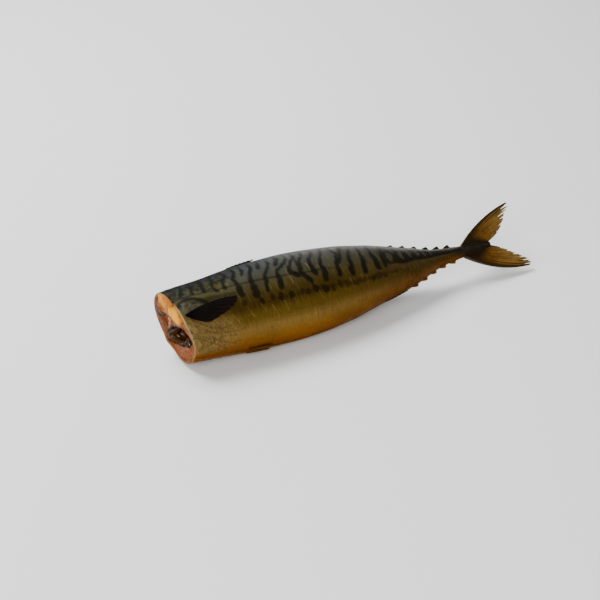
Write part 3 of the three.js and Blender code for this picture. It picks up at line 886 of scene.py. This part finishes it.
def fin_material(name, root, middle, tip, dark, rays, gloss=0.42):
    """Dried fin: rays with darker membrane between them, dark leading edge, paler tips."""
    s = Shader(name, {"Specular IOR Level": 0.04, "Coat Weight": 0.01, "Coat Roughness": 0.25})
    tint = s.ramp(s.mask("out"), [(0.0, root), (0.16, root), (0.38, middle), (1.0, tip)])
    lines = s.noise(s.stretched(s.vector("fin_place"), (rays, 0.035, 1.0)), 1.0, 3.0, 0.55)
    tint = s.mix(s.ramp(lines, [(0.46, 0.0), (0.66, 0.6)]), tint, dark)
    tint = s.mix(s.ramp(s.mask("ray"), [(0.45, 0.0), (0.90, 0.85)]), tint, dark)
    cloud = s.noise(s.place(), 110.0, 3.0)
    tint = s.mix(s.ramp(cloud, [(0.46, 0.0), (0.72, 0.60)]), tint, dark)
    tint = s.mix(s.mask("leading"), tint, dark)
    normal = s.bump(lines, 0.0006, 0.8)
    normal = s.bump(s.noise(s.place(), 900.0, 2.0), 0.0002, 0.4, normal)
    rough = s.ramp(cloud, [(0.3, gloss - 0.08), (0.7, gloss + 0.12)])
    return s.finish(tint, roughness=rough, normal=normal)


# ---- Fins ----

def fan(name, material, surface, thickness, columns, rows, rays, leading):
    """A closed thin fin for the CAD node of its name. surface(across, out) gives its middle
    sheet and its normals in the fish's axes; thickness(across, out) its thickness in mm."""
    across, out = np.meshgrid(np.linspace(0, 1, columns), np.linspace(0, 1, rows), indexing="ij")
    middle, normal = surface(across, out)
    half = (thickness(across, out) / 2)[..., None]
    faces_up, faces_down = middle + normal * half, middle - normal * half
    points = np.concatenate([faces_up.reshape(-1, 3), faces_down.reshape(-1, 3)])
    index = np.arange(columns * rows).reshape(columns, rows)
    under = index + columns * rows
    quads = []
    for sheet, flipped in ((index, False), (under, True)):
        q = np.stack([sheet[:-1, :-1], sheet[1:, :-1], sheet[1:, 1:], sheet[:-1, 1:]], -1)
        q = q.reshape(-1, 4)
        quads += (q[:, ::-1] if flipped else q).tolist()
    rim = np.concatenate([index[:, 0], index[-1, 1:], index[-2::-1, -1], index[0, -2:0:-1]])
    below = rim + columns * rows
    for i in range(len(rim)):
        j = (i + 1) % len(rim)
        quads.append([int(rim[i]), int(below[i]), int(below[j]), int(rim[j])])
    piece = mesh_object(name, points, quads)
    place = np.stack([across * columns, out * rows, 0 * out], -1).reshape(-1, 3)
    set_attribute(piece, "fin_place", np.tile(place, (2, 1)))
    ray = 0.5 + 0.5 * np.cos(TAU * rays * across + 1.6 * noise(across * 9, out * 2, 71))
    for mask, values in (("out", out), ("ray", ray), ("leading", fall(0.0, leading, across))):
        set_attribute(piece, mask, np.tile(values.ravel(), 2))
    piece.data.materials.append(material)
    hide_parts(name)
    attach(piece, "root")


def upright_sheet(x, y, z, side):
    """Points of a sheet near the fish's middle plane, and its normals."""
    points = np.stack([x, y, z], -1)
    return points, np.broadcast_to(np.array([0.0, 0.0, side]), points.shape)


def curve(points):
    """A smooth route through points (x, y), as a function of 0 to 1 along its length."""
    fixed = np.array(points, float)
    steps = np.append(0, np.cumsum(np.hypot(*np.diff(fixed, axis=0).T)))
    steps /= steps[-1]
    fine = np.linspace(0, 1, 400)
    dense = np.stack([np.interp(fine, steps, fixed[:, i]) for i in range(2)], -1)
    soft = blur(dense, 9, 0, False)
    soft += (dense[0] - soft[0]) * (1 - fine[:, None]) + (dense[-1] - soft[-1]) * fine[:, None]
    return lambda t: np.stack([np.interp(t, fine, soft[:, i]) for i in range(2)], -1)


STRANDS = 200                   # frayed strands along a lobe's trailing edge


def tail_lobe(name, side, trailing, notches, bow, material, seed):
    """One lobe of the tail: rays run from the stalk to the frayed trailing edge.

    trailing holds shares of the lobe's length and reach, from the tip to the fork."""
    low, high = extent(name)
    front, length = low[0], high[0] - low[0]
    centre = section(LENGTH)[0]
    reach = (high[1] - centre) if side > 0 else (centre - low[1])
    root_end = LENGTH - front - 2.0

    def to_xy(points):
        return [(front + length * u, centre + side * reach * v) for u, v in points]
    edge = curve(to_xy(trailing))
    fray = blur(np.random.default_rng(seed).uniform(0, 1, STRANDS), 0.6, 0, False)

    def surface(across, out):
        middle, depth, _ = section(front + root_end * across)
        inset = 0.55 + 0.5 * bell(across, 0.09)
        root = np.stack([front - 0.3 + root_end * across, middle + side * depth * inset], -1)
        end = edge(across)
        chord = end - root
        size = np.hypot(chord[..., 0], chord[..., 1])[..., None]
        aside = np.stack([-chord[..., 1], chord[..., 0]], -1) / size * side
        short = np.zeros_like(across)
        for at, width, cut in notches:
            short = np.maximum(short, cut * bell(across - at, width))
        strand = np.interp(across, np.linspace(0, 1, STRANDS), fray)
        short = short + 0.085 * strand * rise(0.03, 0.10, across)
        t = (out * (1.03 - np.clip(short, 0, 0.6)))[..., None]
        bend = (bow * (1 - across) ** 1.3)[..., None]
        path = root + chord * t + aside * bend * 4 * t * (1 - t) * size / 60
        t = t[..., 0]
        sway = 0.84 * side * np.sin(2.6 * t) * (0.3 + across) - 1.32 * t ** 2
        ridge = 0.10 * np.sin(across * TAU * 24) * (1 - 0.5 * t)
        return upright_sheet(path[..., 0], path[..., 1], sway + ridge, side)

    def thickness(across, out):
        edge_rib = 1.2 * bell(across, 0.07)
        return (2.4 + edge_rib) * (1 - out) ** 1.3 + 0.55 + 0.5 * edge_rib * (1 - out)
    fan(name, material, surface, thickness, columns=280, rows=72, rays=17, leading=0.20)


def standing(name, side):
    """Where a CAD fin starts, its length, and how far it stands above the skin beside it."""
    points = node_points(name) - ORIGIN
    middle, depth, _ = section(points[:, 0])
    start = points[:, 0].min()
    return start, points[:, 0].max() - start, float((side * (points[:, 1] - middle) - depth).max())


def folded_fin(name, side, spikes, material, lean):
    """A fin folded down along the back or belly; its spines end in points."""
    start, length, height = standing(name, side)

    def surface(across, out):
        x = start + length * (0.62 * across)
        middle, depth, _ = section(np.clip(x, 0, LENGTH))
        root_y = middle + side * (depth - 1.0)
        span = length * (0.16 + 0.22 * across)
        tip_x = x + span
        tip_mid, tip_depth, _ = section(np.clip(tip_x, 0, LENGTH))
        spike = np.abs(np.sin(across * math.pi * spikes))
        stands = height * (0.75 + 0.25 * spike) * rise(-0.9, 0.6, across)
        tip_y = tip_mid + side * (tip_depth + stands)
        t = out * (0.86 + 0.14 * spike)
        y = root_y + (tip_y - root_y) * t + side * 0.5 * np.sin(math.pi * t)
        z = lean * t + 0.12 * np.sin(across * TAU * spikes)
        return upright_sheet(x + (tip_x - x) * t, y, z, side)

    def thickness(across, out):
        return 2.4 * (1 - 0.7 * out) * (1 - 0.3 * across)
    fan(name, material, surface, thickness, columns=60, rows=20, rays=spikes, leading=0.05)


def finlet(name, side, material):
    """One small fan behind a dorsal or anal fin: low in front, drawn out to the rear."""
    start, length, height = standing(name, side)

    def surface(across, out):
        x = start - 0.6 + (length + 0.6) * 0.90 * across
        middle, depth, _ = section(x)
        root_y = middle + side * (depth - 0.9)
        tip_x = start + length * (0.04 + 0.96 * across ** 0.9)
        tip_mid, tip_depth, _ = section(tip_x)
        dome = (0.2 + 0.8 * across ** 0.65) * (0.25 + 0.75 * fall(0.72, 1.0, across))
        ragged = 1 - 0.10 * np.abs(np.sin(across * math.pi * 5))
        tip_y = tip_mid + side * (tip_depth + (1.1 * height + RIDGE) * dome * ragged)
        z = 0.15 * np.sin(across * TAU * 5) * out
        return upright_sheet(x + (tip_x - x) * out, root_y + (tip_y - root_y) * out, z, side)

    def thickness(across, out):
        return 2.2 * (1 - 0.62 * out)
    fan(name, material, surface, thickness, columns=34, rows=14, rays=5, leading=0.2)


def flank_fin(name, start, length, angle, upper, lower, bow, material, lift, rays):
    """A fin folded back against the flank. upper and lower are its edges from the root to
    the free edge, as points (share of its length, degrees below its front corner)."""
    mirror = -1 if name.endswith("right") else 1
    top, bottom = curve(upper), curve(lower)

    def surface(across, out):
        a, b = top(out), bottom(out)
        mixed = a * (1 - across[..., None]) + b * across[..., None]
        rounded = bow * np.sin(math.pi * across ** 0.8) * out ** 2
        tufts = 0.030 * np.abs(np.sin(across * math.pi * rays * 0.5)) * rise(0.7, 1, out)
        x = start + length * np.clip(mixed[..., 0] + rounded - tufts, 0, 1.02)
        turn = np.radians(angle + mixed[..., 1]) * mirror
        clear = 0.62 + lift * out ** 1.6 * (1 - 0.45 * across)
        clear += 0.20 * np.sin(across * TAU * rays * 0.5) * (0.3 + 0.7 * out)
        away = outward(x, turn)
        return plain_skin(x, turn) + away * clear[..., None], -mirror * away

    def thickness(across, out):
        return 1.15 * (1 - 0.5 * out)
    fan(name, material, surface, thickness, columns=96, rows=48, rays=rays, leading=0.1)


# ---- Build the body ----

def skin_masks(x, degrees):
    """Where each tint of the skin lies, 0 to 1, by the name that the skin's material reads."""
    flank = Flank(x, degrees)
    round_by = flank.round_by
    yellow = fall(36, 62, x) * rise(42, 52, round_by)
    yellow *= fall(60, 88, round_by + 5 * noise(x / 3, round_by / 8, 42))
    yellow *= 0.5 + 0.5 * noise(x / 4, round_by / 12, 43)
    nape = fall(26, 62, x) * fall(48, 64, round_by)
    nape *= 0.75 + 0.25 * noise(x / 2.2, round_by / 9, 46)
    pale = fall(14, 46, x + 0.14 * np.abs(round_by - 122)) * rise(90, 108, round_by)
    drift = crease_drift(x, degrees)
    # Painted shade along the creases, 0 to 1.
    creases = fall(0.1, 1.1, nearest(x + drift, round_by, CREASES))
    creases *= 0.4 + 0.6 * rise(-0.4, 0.4, noise(x / 3, degrees / 8, 47))
    # Thin gold streaks: partly the foil-like layer, partly painted highlight.
    streaks = fall(0.10, 0.60, nearest(x + 0.5 * drift, round_by, STREAKS))
    streaks *= 0.35 + 0.65 * rise(-0.6, 0.6, noise(x / 4, degrees / 7, 48))
    cream = fall(0.3, 1.2, x + 0.3 * noise(degrees / 6, x, 45))
    cream *= np.where(degrees > 0, rise(60, 76, degrees), rise(130, 155, -degrees))
    slit = fall(0.4, 1.1, route_distance(x, degrees % 360, SLIT))
    return {
        "turn": round_by / 180,
        "bars": bar_mask(flank),
        "blotches": blotch_mask(flank),
        "lines": np.maximum(0.8 * lateral_line(flank), shoulder_lines(x, round_by)),
        "pale": pale * fall(156, 168, round_by),
        "plate": fall(0.7, 1.15, oval_distance(x, round_by, *SHOULDER, 9, 8.5)),
        "cream": 0.8 * cream,
        "slit": 0.8 * slit * fall(112, 134, x),
        "yellow": np.clip(yellow, 0, 1),
        "nape": nape,
        "dull": fall(50, 105, x) * fall(50, 80, round_by),
        "creases": creases,
        "streaks": streaks,
    }


STALK_DARK = 0.9                # how far the stalk's end is darkened


def stalk_mask(x, degrees):
    """The dark end of the stalk, which reaches further forward on the back."""
    edge = 232 + 18 * np.sin(np.radians(np.clip(np.abs(degrees) - 60, 0, 120)) * 1.1)
    return STALK_DARK * rise(-9, 9, x - edge + 3 * noise(x / 5, degrees / 20, 41))


# Tints of the cut flesh: (strength, right, up, half width, half height, tilt, softness).
FLESH_PATCHES = {
    # The first of the next two patches is the gold flesh of the cut; the second, fainter one at the top is
    # a painted highlight.
    "golden_flesh_and_highlight": [(1, -9.4, 5.2, 5.6, 6.6, 14, 0.34), (0.55, -4.0, 21.5, 3.6, 6.5, -8, 0.6)],
    "amber": [(1, -5.5, 16.5, 9.0, 10.8, -12, 0.18), (0.8, -9.6, 4.4, 7.2, 7.6, 20, 0.2)],
    "dark_meat": [(1, 9, 16, 7, 9.5, 30, 0.25), (1, 13.8, 7, 5.5, 8.5, 8, 0.25)],
    # Pale bits of bone round the backbone; the last, thin patch low on the belly wall is a painted glint.
    "bone_bits_and_glint": [(1, 1.0, 7.2, 2.3, 1.5, 15, 0.25), (1, 4.6, 5.4, 2.3, 1.2, -25, 0.25),
                  (0.6, 8.5, 3.9, 2.4, 0.8, 0, 0.25), (0.5, 1.0, -17.4, 3.4, 0.45, 20, 0.25)],
    "grey_bits": [(1, 8.6, 15.0, 5.4, 1.3, 38, 0.25)],
}


def flesh_masks(face):
    """Where each tint of the cut flesh lies, by the name that the flesh's material reads."""
    right, up, from_rim = face.right, face.up, face.from_rim
    rough = 0.12 * noise(right / 2 + 40, up / 2 + 40, 51)
    masks = {}
    for name, patches in FLESH_PATCHES.items():
        masks[name] = np.max([
            strength * fall(1 - soft, 1 + soft, oval_distance(right, up, *oval) + rough)
            for strength, *oval, soft in patches], axis=0)
    masks["seam"] = np.max([
        strength * fall(0.2, 1.0, route_distance(right, up, route, 1.0))
        for strength, route in SEAMS], axis=0)
    masks["rim"] = fall(0.5, 1.2, from_rim) * (0.25 + 0.75 * fall(-2, 8, right))
    masks["shade"] = 0.75 * fall(0.0, 1.6, from_rim.max(0) - from_rim)
    return masks


def cavity_masks(hollow):
    """Painted shade that deepens into the cavity, and painted light on the folds as far as they stand into
    the light, with painted shadow just inside the mouth's top edge.
    """
    shadow_under_mouth_top = hollow.under_spine * fall(3, 8, hollow.depth)
    lit_fold_tops = rise(-0.5, 0.9, hollow.folds) * (1 - 0.95 * shadow_under_mouth_top)
    return {"depth": rise(7, 26, hollow.depth), "folds": lit_fold_tops}


def add_masks(piece, rings, start, masks, elsewhere=0.0):
    """Writes masks known on the rings from start on to all of the body's points.

    A mask may be a pair of coordinates, which is written as one vector."""
    def spread(values):
        whole = np.full((rings, SIDES), float(elsewhere))
        whole[start:start + len(values)] = values
        return np.append(whole.ravel(), [elsewhere, elsewhere])
    for name, values in masks.items():
        if isinstance(values, tuple):
            u, v = spread(values[0]), spread(values[1])
            set_attribute(piece, name, np.stack([u, v, np.zeros_like(u)], -1))
        else:
            set_attribute(piece, name, spread(values))


def add_body_materials(piece, rings, hollow_rings, face_rings):
    """Skin, flesh and lining, on the rings of each and on the points that close the ends."""
    for material in (skin_material(), flesh_material(), cavity_material()):
        piece.data.materials.append(material)
    skin_kind, flesh_kind, lining_kind = range(3)
    ring = np.repeat(np.arange(rings - 1), SIDES)
    kinds = np.full(len(piece.data.polygons), skin_kind)
    kinds[:len(ring)][ring < hollow_rings + face_rings] = flesh_kind
    kinds[:len(ring)][ring < hollow_rings - 1] = lining_kind
    kinds[len(ring):len(ring) + SIDES] = lining_kind
    piece.data.polygons.foreach_set("material_index", kinds.tolist())


def build_body():
    """The whole fish as one closed surface: lining, cut face, skin and the stalk's end."""
    angles = np.linspace(-math.pi, math.pi, SIDES + 1)[:-1]
    x, angle = np.meshgrid(LENGTH * np.linspace(0, 1, STATIONS), angles, indexing="ij")
    degrees = np.degrees(angle)
    skin = plain_skin(x, angle) + outward(x, angle) * skin_relief(x, degrees)[..., None]
    face_rings, face = cut_face(skin[0])
    hollow_rings, hollow = cavity(face_rings[-1], face.direction)
    grid = above_floor(np.concatenate([hollow_rings[::-1], face_rings[::-1], skin, stalk_end(skin[-1])]))
    piece = grid_object("smoked_fish_body", grid, (grid[0].mean(0), grid[-1].mean(0)))

    rings, first_face = len(grid), len(hollow_rings)
    first_skin = first_face + len(face_rings)
    add_masks(piece, rings, first_skin, {"skin_place": (x, degrees * ARC), **skin_masks(x, degrees)})
    add_masks(piece, rings, first_skin, {"rear": x / LENGTH}, 1.0)
    add_masks(piece, rings, first_skin, {"stalk": stalk_mask(x, degrees)}, STALK_DARK)
    flesh = {"cut_place": (face.right[::-1], face.up[::-1])}
    flesh.update({name: values[::-1] for name, values in flesh_masks(face).items()})
    add_masks(piece, rings, first_face, flesh)
    add_masks(piece, rings, 0, {name: values[::-1] for name, values in cavity_masks(hollow).items()}, 1.0)
    add_body_materials(piece, rings, first_face, len(face_rings))
    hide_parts("body")
    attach(piece, "root")


# ---- Build the fins ----

# Outline of each tail lobe's trailing edge, and the notches frayed into it: (place from the
# leading edge to the fork, half width, depth), all as shares.
UPPER_TRAILING = [
    (0.965, 1.00), (1.02, 0.985), (1.03, 0.90), (0.97, 0.79), (0.90, 0.67), (0.85, 0.56),
    (0.77, 0.41), (0.67, 0.26), (0.56, 0.15), (0.47, 0.09),
]
UPPER_NOTCHES = [(0.10, 0.016, 0.10), (0.17, 0.012, 0.13), (0.25, 0.014, 0.20), (0.36, 0.014, 0.12),
                 (0.52, 0.016, 0.08), (0.70, 0.016, 0.10)]
LOWER_TRAILING = [
    (0.93, 1.02), (1.02, 0.97), (1.03, 0.84), (0.95, 0.70), (0.86, 0.55), (0.76, 0.37),
    (0.69, 0.25), (0.60, 0.13), (0.50, 0.03), (0.47, -0.01),
]
LOWER_NOTCHES = [(0.10, 0.014, 0.10), (0.19, 0.014, 0.13), (0.30, 0.014, 0.11), (0.44, 0.014, 0.12),
                 (0.58, 0.014, 0.10), (0.72, 0.014, 0.13)]

# Edges of the flank fins: (share of the fin's length, degrees below its front corner).
PECTORAL_UPPER = [(0.0, 0.0), (0.20, -4.0), (0.45, -7.0), (0.75, -7.5), (1.0, -4.5)]
PECTORAL_LOWER = [(0.0, 1.5), (0.10, 8.0), (0.26, 15.5), (0.38, 16.5)]
PECTORAL_FRONT, PECTORAL_LENGTH, PECTORAL_ANGLE = 2.2, 40.8, 88.5
PELVIC_UPPER = [(0.0, -0.5), (0.5, -2.0), (1.0, -2.0)]
PELVIC_LOWER = [(0.04, 1.0), (0.25, 2.5), (0.5, 3.0)]
PELVIC_ANGLE = 173.5


def build_fins():
    tail = fin_material("tail_fin_rays", (8, 6, 3), (200, 84, 8),
                        (300, 170, 44), (20, 10, 2), 0.14)
    dark = fin_material("dark_fin_rays", (1.5, 1.5, 1), (3, 2, 1),
                        (10, 5, 2), (1, 1, 1), 0.35, 0.50)
    amber = fin_material("amber_fin_rays", (35, 13, 1), (60, 24, 3),
                         (90, 44, 10), (12, 5, 1), 0.5)
    belly = fin_material("belly_fin_rays", (90, 30, 1), (110, 42, 2),
                         (130, 60, 8), (70, 22, 1), 0.5)
    back = fin_material("finlet_rays", (10, 8, 5), (18, 10, 4),
                        (30, 16, 5), (5, 4, 3), 0.5)
    tail_lobe("tail_fin_upper_lobe", 1, UPPER_TRAILING, UPPER_NOTCHES, bow=3.2, material=tail, seed=61)
    tail_lobe("tail_fin_lower_lobe", -1, LOWER_TRAILING, LOWER_NOTCHES, bow=5.0, material=tail, seed=62)
    folded_fin("first_dorsal_fin", 1, 7, dark, lean=-1.2)
    folded_fin("second_dorsal_fin", 1, 6, dark, lean=-0.6)
    folded_fin("anal_fin", -1, 6, amber, lean=0.4)
    for node in sorted(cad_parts):
        if node.startswith("dorsal_finlet"):
            finlet(node, 1, back)
        if node.startswith("anal_finlet"):
            finlet(node, -1, belly)
    for flank in ("left", "right"):
        flank_fin(f"pectoral_fin_{flank}", PECTORAL_FRONT, PECTORAL_LENGTH, PECTORAL_ANGLE,
                  PECTORAL_UPPER, PECTORAL_LOWER, 0.14, dark, lift=0.9, rays=14)
        low, high = extent(f"pelvic_fin_{flank}")
        flank_fin(f"pelvic_fin_{flank}", low[0], high[0] - low[0], PELVIC_ANGLE,
                  PELVIC_UPPER, PELVIC_LOWER, 0.08, belly, lift=0.2, rays=8)


# ---- Camera, floor and light ----

AIM = Vector((-0.0337, 0.0313, 0.0))
DISTANCE = 0.9019
AZIMUTH = math.radians(-31.43)
ELEVATION = math.radians(30.83)
TILT = math.radians(1.075)
LENS = 69.09                    # mm, on a sensor 36 mm wide
SENSOR = 36.0

FLOOR_HALF = 6.0
FLOOR_TINT = (860, 860, 860)
WORLD_STRENGTH = 0.32

# Soft boxes: name, place, the point each faces, width and height, watts.
LIGHTS = [
    ("key", (-0.5, 0.9, 1.5), (0.0, 0.0, 0.0), (1.2, 0.9), 52),
    ("fill", (-1.2, -1.1, 0.9), (0.0, 0.0, 0.0), (1.4, 1.1), 32),
    ("back", (1.15, 1.6, 0.45), (0.03, 0.0, 0.0), (1.3, 0.7), 8),
]


def add_camera():
    data = bpy.data.cameras.new("camera")
    data.lens = LENS
    data.sensor_width = SENSOR
    camera = link("camera", data)
    back = Vector((math.sin(AZIMUTH) * math.cos(ELEVATION),
                   -math.cos(AZIMUTH) * math.cos(ELEVATION), math.sin(ELEVATION)))
    right = Vector((math.cos(AZIMUTH), math.sin(AZIMUTH), 0.0))
    up = back.cross(right)
    turned_right = math.cos(TILT) * right + math.sin(TILT) * up
    turn = Matrix((turned_right, back.cross(turned_right), back)).transposed()
    camera.matrix_world = Matrix.Translation(AIM + DISTANCE * back) @ turn.to_4x4()
    bpy.context.scene.camera = camera


def add_floor():
    corners = [(-1, -1), (1, -1), (1, 1), (-1, 1)]
    mesh = bpy.data.meshes.new("floor")
    mesh.from_pydata([(FLOOR_HALF * u, FLOOR_HALF * v, 0) for u, v in corners], [], [(0, 1, 2, 3)])
    floor = link("floor", mesh)
    shader = Shader("pale_floor", {"Roughness": 0.75})
    floor.data.materials.append(shader.finish(FLOOR_TINT))


def add_light(name, place, aim, size, power):
    data = bpy.data.lights.new(name, "AREA")
    data.shape = "RECTANGLE"
    data.size, data.size_y = size
    data.energy = power
    lamp = link(name, data)
    lamp.location = place
    lamp.rotation_euler = (Vector(aim) - Vector(place)).to_track_quat("-Z", "Y").to_euler()


def add_world():
    world = bpy.data.worlds.new("studio")
    world.use_nodes = True
    background = world.node_tree.nodes["Background"]
    background.inputs["Color"].default_value = (1.0, 1.0, 1.0, 1.0)
    background.inputs["Strength"].default_value = WORLD_STRENGTH
    bpy.context.scene.world = world


build_body()
build_fins()
add_camera()
add_floor()
for light in LIGHTS:
    add_light(*light)
add_world()
